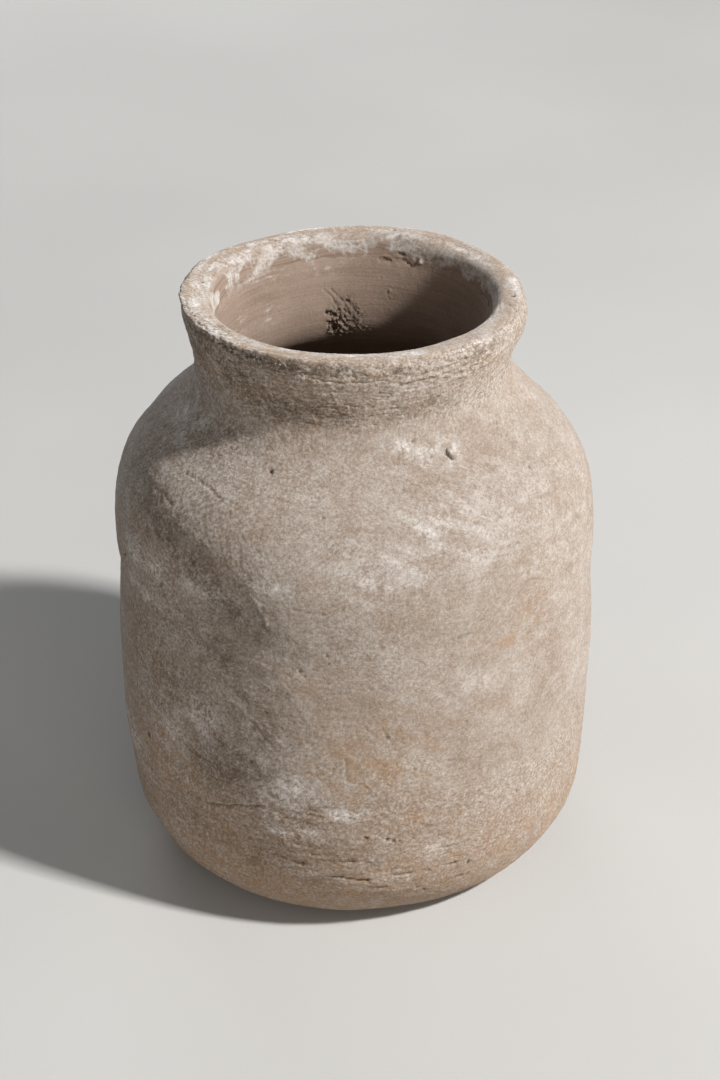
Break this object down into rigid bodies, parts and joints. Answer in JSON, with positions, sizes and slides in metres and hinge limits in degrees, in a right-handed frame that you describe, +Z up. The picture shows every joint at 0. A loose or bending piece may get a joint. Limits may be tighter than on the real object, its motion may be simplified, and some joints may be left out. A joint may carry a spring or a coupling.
{
  "type": "stoneware vase",
  "caption": "Wide-mouthed stoneware vase with a straight round-shouldered body, short flared neck and thick uneven lip, built up from luted clay sections.",
  "frame": {"origin": "centre of the flat foot, on the surface that the vase stands on", "axes": "+Z up the vase's axis to its mouth; +X to the right and +Y to the back, with the folded and cracked face of the wall towards -Y"},
  "size_m": [0.2522, 0.2522, 0.319],
  "materials": {
    "outer_clay": "unglazed warm grey stoneware, matt and rough, with chalky dry-brushed streaks and ochre and dark patches",
    "joint_slip": "fired clay slip in the joints between sections, matt",
    "seal_coat": "brown-grey sealing slip brushed round the inside, matt, with fine level brush lines"
  },
  "bodies": {
    "root": {"base_bowl": "outer_clay", "lower_wall": "outer_clay", "middle_wall": "outer_clay", "upper_wall": "outer_clay", "shoulder": "outer_clay", "neck_collar": "outer_clay", "rim_coil": "outer_clay", "foot_slip_joint": "joint_slip", "lower_wall_slip_joint": "joint_slip", "middle_wall_slip_joint": "joint_slip", "shoulder_slip_joint": "joint_slip", "neck_slip_joint": "joint_slip", "rim_slip_joint": "joint_slip", "inner_seal_coat": "seal_coat"}
  },
  "joints": []
}
